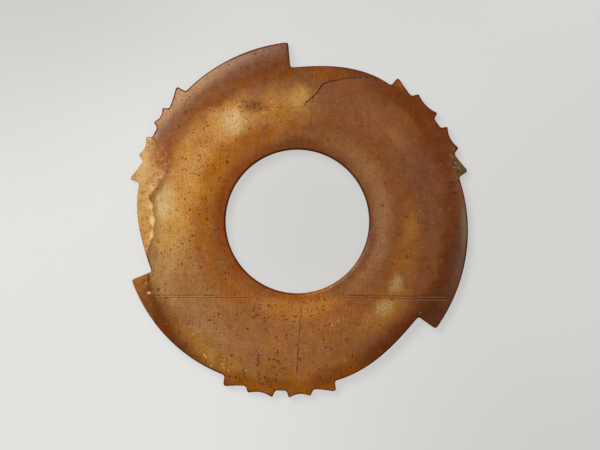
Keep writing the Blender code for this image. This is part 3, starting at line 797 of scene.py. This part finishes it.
split_faces(disc, lambda middles: beside(middles, CRACK)[0] < CRACK_ZONE, 2)
points = points_of(disc.data)
distance, side, share = beside(points, CRACK)
on_top = upward(disc.data) > UPPER_FACE
shiver = np.zeros(len(points))
for wave, swing in CRACK_SHIVER:
    shiver += np.sin((points[:, 0] + 0.6 * points[:, 1]) / (wave * MM) * 2 * np.pi) * swing * MM
distance = np.abs(distance * side + shiver)
present = eased(share, *CRACK_STARTS) * eased(share, *CRACK_ENDS) * on_top
groove = eased(distance, CRACK_HALF_WIDTH, 0.04 * MM) * present
filled = eased(distance, FILL_HALF_WIDTH, 0.15 * MM) * eased(share, *DIRT_STARTS) * present
step = eased(distance, STEP_REACH, 0.0) * (side < 0) * present
points[:, 2] -= CRACK_DEPTH * groove + CRACK_STEP * step
set_points(disc.data, points)
mark(disc.data, "crack", groove * (1.0 - DARK_LOST * eased(share, *DARK_FADES)))
mark(disc.data, "crack_fill", filled)
mark(disc.data, "block", eased(distance, BLOCK_REACH, 0.0) * (side < 0) * present)

for name, strength, tone in (("block", 0.4, BLOCK_COLOUR), ("crack_fill", 0.75, CRACK_FILL),
                             ("crack", 0.9, CRACK_COLOUR)):
    colour = painted(colour, tone, product(kept(name), strength))


# The pits. Soft iron grains have weathered out of the polish and left small dark holes, most
# of them on the left and at the foot. Each is a small hollow with a ragged outline.
LONE_PITS = 130
PIT_CLUSTERS = (
    # middle, spread along x and y, how many, largest half width, in millimetres
    (-19.0, 48.6, 2.4, 1.5, 60, 0.34),
    (-14.0, 47.2, 3.0, 1.0, 18, 0.30),
    (-24.0, 47.5, 4.0, 3.0, 14, 0.40),
    (-41.0, 29.0, 2.4, 6.0, 18, 0.50),
    (-47.0, 6.0, 1.4, 4.0, 12, 0.60),
    (-43.5, -4.0, 5.0, 7.0, 8, 0.60),
    (-49.0, -12.0, 4.0, 5.0, 6, 0.55),
    (-36.0, -14.0, 5.0, 7.0, 8, 0.50),
    (-17.0, -38.0, 1.0, 2.4, 12, 0.65),
    (-9.0, -41.5, 5.0, 4.0, 14, 0.55),
    (-28.0, -40.0, 6.0, 5.0, 10, 0.50),
    (-16.4, -60.0, 0.6, 3.8, 26, 0.60),
    (-8.6, -58.5, 1.0, 4.0, 16, 0.60),
    (-23.0, -63.8, 0.6, 1.8, 12, 0.60),
    (-25.5, -64.8, 2.4, 1.2, 8, 0.65),
    (-29.0, -57.0, 2.2, 2.2, 10, 0.60),
    (-3.0, -52.0, 6.0, 8.0, 12, 0.50),
    (-14.0, -68.0, 2.4, 1.2, 10, 0.65),
    (4.0, -62.0, 4.0, 5.0, 8, 0.50),
    (40.0, -24.0, 5.0, 8.0, 10, 0.50),
    (14.0, -45.0, 6.0, 6.0, 8, 0.50),
)
SMALLEST_PIT, LARGEST_PIT = 0.24, 0.52
PIT_LOBES = ((2, 0.22), (3, 0.18), (5, 0.12))       # swells round the outline, and their reach
PIT_DEPTH = 0.09 * MM
PIT_COLOUR = "#40200c"
PIT_SEED = 7
PIT_STRENGTH = 0.95
PIT_LENGTH, PIT_WIDTH = 1.5, 0.9            # as shares of a pit's size
PIT_LIP, PIT_FLOOR = 1.1, 0.2               # and where its slope starts and ends
PIT_ZONE = 2 * MM                           # no pit reaches further than this
PITTED_FACE = 0.8                           # how much a face looks up to be pitted
FEWEST_PITS = 0.12                          # share of the lone pits that the right side keeps
PITS_CROWD = (-35.0, 30.0)
SAFE_RADIUS = 31.5                          # no pit breaks into the edge of the hole
PITTED_RADIUS = 66.0

random.seed(PIT_SEED)
spots = [(random.gauss(x, wide), random.gauss(y, high), largest)
         for x, y, wide, high, count, largest in PIT_CLUSTERS for _ in range(count)]
while len(spots) < LONE_PITS + sum(row[4] for row in PIT_CLUSTERS):
    distance_out = random.uniform(SAFE_RADIUS, PITTED_RADIUS)
    bearing = random.uniform(0.0, 2 * np.pi)
    x, y = distance_out * np.cos(bearing), distance_out * np.sin(bearing)
    crowding = float(eased(CROWDED_WAY[0] * x + CROWDED_WAY[1] * y, *PITS_CROWD))
    if random.random() < FEWEST_PITS + (1.0 - FEWEST_PITS) * crowding:
        spots.append((x, y, LARGEST_PIT))
pits = [(x, y, SMALLEST_PIT + (largest - SMALLEST_PIT) * random.random() ** 1.6,
         random.uniform(0.0, 180.0), random.uniform(0.65, 1.0))
        for x, y, largest in spots if np.hypot(x, y) > SAFE_RADIUS]


def pit_fill(points):
    """How deep each point lies in the nearest pit: 1 in the darkest, 0 at its lip and beyond."""
    depth = np.zeros(len(points))
    for x, y, size, turn, darkness in pits:
        middle = np.array((x, y)) * MM
        heading = np.array((np.cos(np.radians(turn)), np.sin(np.radians(turn)))) * MM
        near = np.flatnonzero((np.abs(points[:, 0] - x * MM) < PIT_ZONE)
                              & (np.abs(points[:, 1] - y * MM) < PIT_ZONE))
        along, across = along_and_across(points[near], middle, middle + heading)
        reach = np.hypot(along / (PIT_LENGTH * size * MM), across / (PIT_WIDTH * size * MM))
        bearing = np.arctan2(across, along)
        for lobes, swell in PIT_LOBES:
            reach = reach * (1.0 + swell * np.sin(lobes * bearing + turn))
        depth[near] = np.maximum(depth[near], darkness * eased(reach, PIT_LIP, PIT_FLOOR))
    return depth


split_faces(disc, lambda middles: pit_fill(middles) > 0.0, 1)
points = points_of(disc.data)
hollow = pit_fill(points) * (upward(disc.data) > PITTED_FACE)
points[:, 2] -= PIT_DEPTH * hollow
set_points(disc.data, points)
mark(disc.data, "pit", hollow)
colour = painted(colour, PIT_COLOUR, product(kept("pit"), PIT_STRENGTH))


# The finish: a dark line painted along every edge, which stands for the shade where the
# rounded edges fall away from the light, and the gloss of rubbed nephrite, whose refractive
# index is 1.61. The gloss is softer in the specks and gone from the skin, the walls and
# whatever is cut or broken.
PAINTED_EDGE_SHADE_COLOUR = "#561f02"
SKIN_EDGE_COLOUR = "#9a6420"
BARE_ROUGHNESS = 0.9
WALL_CLEARED = 0.6                          # how much of the dark line the walls are spared
PAINTED_HIGHLIGHT_LIP_CLEARED = 0.6                        # and the painted highlight on the lip of the hole, lower right
SKIN_WALL_CLEARED = 0.5
EDGE_LEVELS = (0.97, 0.80)                  # how level the surface is where a line starts and is
SKIN_EDGE_LEVELS = (0.75, 0.45)             # full: 1 lies flat and 0 stands upright
WALL_LEVELS = (0.5, 0.15)
SCAR_MARGIN = (0.0, -2.5 * MM)              # the dark line grows full this far from a scar
PAINTED_HIGHLIGHT_LIP_WAY = (0.55, 0.9)                    # how far towards the lower right the lip takes the painted highlight
LIP_RADIUS = 32.0 * MM
POLISH_ROUGHNESS = (0.15, 0.27)             # from the clearest polish to its smears
SPECK_DULLING = 0.31                        # how much rougher a speck is
SPECK_BARED = 0.8
NEPHRITE_IOR = 1.61
POLISH_LEVEL = 0.2
POLISH_TINT = (1.0, 0.94, 0.85, 1.0)
SMEAR_GRAIN = 3.0
GRIT_GRAIN = 0.9
GRIT_RELIEF, SPECK_RELIEF, SCAR_RELIEF = 0.13, -0.5, 1.2      # as shares of the fine relief
FINE_RELIEF = 0.1 * MM

points = points_of(disc.data)
clear_of_scars = eased(skin_depth(points), *SCAR_MARGIN)
level = np.abs(upward(disc.data))
on_wall = eased(level, *WALL_LEVELS)
out = np.hypot(points[:, 0], points[:, 1])
lower_right = (points[:, 0] - points[:, 1]) / out / np.sqrt(2.0)
on_painted_highlight_lip = eased(lower_right, *PAINTED_HIGHLIGHT_LIP_WAY) * (out < LIP_RADIUS)
# Painted shade: the edges are darkened where they round over and turn from the light, less on the
# walls and on the painted highlight of the hole's lip.
painted_edge_shade = eased(level, *EDGE_LEVELS) * clear_of_scars * (1.0 - WALL_CLEARED * on_wall)
mark(disc.data, "edge", painted_edge_shade * (1.0 - PAINTED_HIGHLIGHT_LIP_CLEARED * on_painted_highlight_lip))
skin_line = eased(level, *SKIN_EDGE_LEVELS) * (1.0 - clear_of_scars)
mark(disc.data, "skin_edge", skin_line * (1.0 - SKIN_WALL_CLEARED * on_wall))
colour = painted(colour, SKIN_EDGE_COLOUR, kept("skin_edge"))
colour = painted(colour, PAINTED_EDGE_SHADE_COLOUR, kept("edge"))
tree.links.new(colour, shader.inputs["Base Color"])

smears = noise(in_stone, SMEAR_GRAIN, 4.0)["Fac"]
smears = ranged(smears, *NOISE_CORE, *POLISH_ROUGHNESS)
dulled = add("ShaderNodeMath", {0: dents, 1: SPECK_DULLING, 2: smears},
             operation="MULTIPLY_ADD").outputs[0]
bare = product(dents, SPECK_BARED)
for name, bare_from in (("scored", 0.25), ("crack", 0.25), ("pit", 0.5), ("edge", 1.0),
                        ("wall", 1.0)):
    share = ranged(kept(name), 0.0, bare_from)
    bare = add("ShaderNodeMath", {0: bare, 1: share}, operation="MAXIMUM").outputs[0]
dulled = add("ShaderNodeMix", {0: in_scar, 2: dulled, 3: SKIN_ROUGHNESS}).outputs[0]
dulled = add("ShaderNodeMix", {0: bare, 2: dulled, 3: BARE_ROUGHNESS}).outputs[0]
tree.links.new(dulled, shader.inputs["Roughness"])
tree.links.new(ranged(bare, 0.0, 1.0, POLISH_LEVEL, 0.0), shader.inputs["Specular IOR Level"])

grit = product(noise(in_stone, GRIT_GRAIN, 3.0)["Fac"], GRIT_RELIEF)
relief = add("ShaderNodeMath", {0: dents, 1: SPECK_RELIEF, 2: grit},
             operation="MULTIPLY_ADD").outputs[0]
relief = add("ShaderNodeMath", {0: product(tattered, in_scar), 1: SCAR_RELIEF, 2: relief},
             operation="MULTIPLY_ADD").outputs[0]
bump = add("ShaderNodeBump", {"Height": relief, "Distance": FINE_RELIEF, "Strength": 1.0})
tree.links.new(bump.outputs[0], shader.inputs["Normal"])
shader.inputs["IOR"].default_value = NEPHRITE_IOR
shader.inputs["Specular Tint"].default_value = POLISH_TINT

disc.data.materials.clear()
disc.data.materials.append(nephrite)
bpy.ops.object.shade_smooth()
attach(disc, "root")
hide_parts("notched_disc")


# The table. A sheet of pale matt glass lit from below, which leaves only a faint shadow. It
# lies a tenth of a millimetre low, so that it never shares a plane with the underside.
TABLE_SIZE = 6.0
TABLE_DROP = 0.1 * MM
TABLE_COLOUR = "#6e6e6d"
TABLE_GLOW = "#fffffe"
TABLE_GLOW_STRENGTH = 0.60
TABLE_ROUGHNESS = 0.9
TABLE_GLOSS = 0.1
# The glow is painted darker in places: a painted shadow inside the hole, under the disc, and a
# painted falloff of the light towards the corners, the top and the right side.
TABLE_PAINTED_SHADES = (
    # what it is, middle and reach in millimetres, how much darker
    ("right side", 130, -20, 190, 260, 0.17),
    ("upper left corner", -150, 120, 150, 130, 0.24),
    ("lower right corner", 110, -120, 170, 90, 0.08),
    ("top", -20, 110, 150, 80, 0.12),
    ("painted shadow inside the hole", 0, 0, 60, 60, 0.17),
)
bpy.ops.mesh.primitive_plane_add(size=TABLE_SIZE, location=(0.0, 0.0, -TABLE_DROP))
table = bpy.context.object
table.name = "light_table"
glass = bpy.data.materials.new("pale_matt_glass")
glass.use_nodes = True
tree = glass.node_tree
glass_shader = tree.nodes["Principled BSDF"]
object_place = add("ShaderNodeTexCoord", {}).outputs["Object"]
place = add("ShaderNodeMapping", {"Vector": object_place, "Scale": IN_MM_FROM_ABOVE}).outputs[0]
glow = add("ShaderNodeRGB", {}).outputs[0]
glow.default_value = linear(TABLE_GLOW)
for name, x, y, half_length, half_width, darker in TABLE_PAINTED_SHADES:
    share = oval(place, (x, y), (half_length, half_width), darker)
    glow = painted(glow, "#000000", share, label=name)
tree.links.new(glow, glass_shader.inputs["Emission Color"])
glass_shader.inputs["Base Color"].default_value = linear(TABLE_COLOUR)
glass_shader.inputs["Roughness"].default_value = TABLE_ROUGHNESS
glass_shader.inputs["Specular IOR Level"].default_value = TABLE_GLOSS
glass_shader.inputs["Emission Strength"].default_value = TABLE_GLOW_STRENGTH
table.data.materials.append(glass)


# The light: a wide softbox high on the upper left of the photograph, and a weak one on its
# right. The polish shows the first along the upper left rim and the second on the right. A
# faint warm world fills the shadows.
SOFTBOXES = (
    # name, place, width, depth, watts, colour
    ("upper_left_softbox", (-0.66, 0.69, 1.25), 1.15, 0.75, 24.3, (1.0, 0.975, 0.92)),
    ("right_softbox", (0.84, -0.04, 1.25), 0.5, 0.5, 2.0, (1.0, 1.0, 1.0)),
)
WORLD_COLOUR = (1.0, 0.985, 0.92, 1.0)
WORLD_STRENGTH = 0.26
for name, where, width, depth, watts, tint in SOFTBOXES:
    bpy.ops.object.light_add(type="AREA", location=where)
    lamp = bpy.context.object
    lamp.name = name
    lamp.data.shape = "RECTANGLE"
    lamp.data.size = width
    lamp.data.size_y = depth
    lamp.data.energy = watts
    lamp.data.color = tint
    lamp.rotation_euler = (-Vector(where)).to_track_quat("-Z", "Y").to_euler()
world = bpy.data.worlds.new("studio")
world.use_nodes = True
world.node_tree.nodes["Background"].inputs["Color"].default_value = WORLD_COLOUR
world.node_tree.nodes["Background"].inputs["Strength"].default_value = WORLD_STRENGTH
bpy.context.scene.world = world
bpy.context.scene.view_settings.view_transform = "Standard"

# The camera looks straight down from far off, as the photograph's does.
CAMERA_PLACE = (1.11 * MM, -1.48 * MM, 1.4002)
CAMERA_LENS = 200.0
SENSOR_WIDTH = 36.0
bpy.ops.object.camera_add(location=CAMERA_PLACE, rotation=(0.0, 0.0, 0.0))
camera = bpy.context.object
camera.data.lens = CAMERA_LENS
camera.data.sensor_width = SENSOR_WIDTH
bpy.context.scene.camera = camera
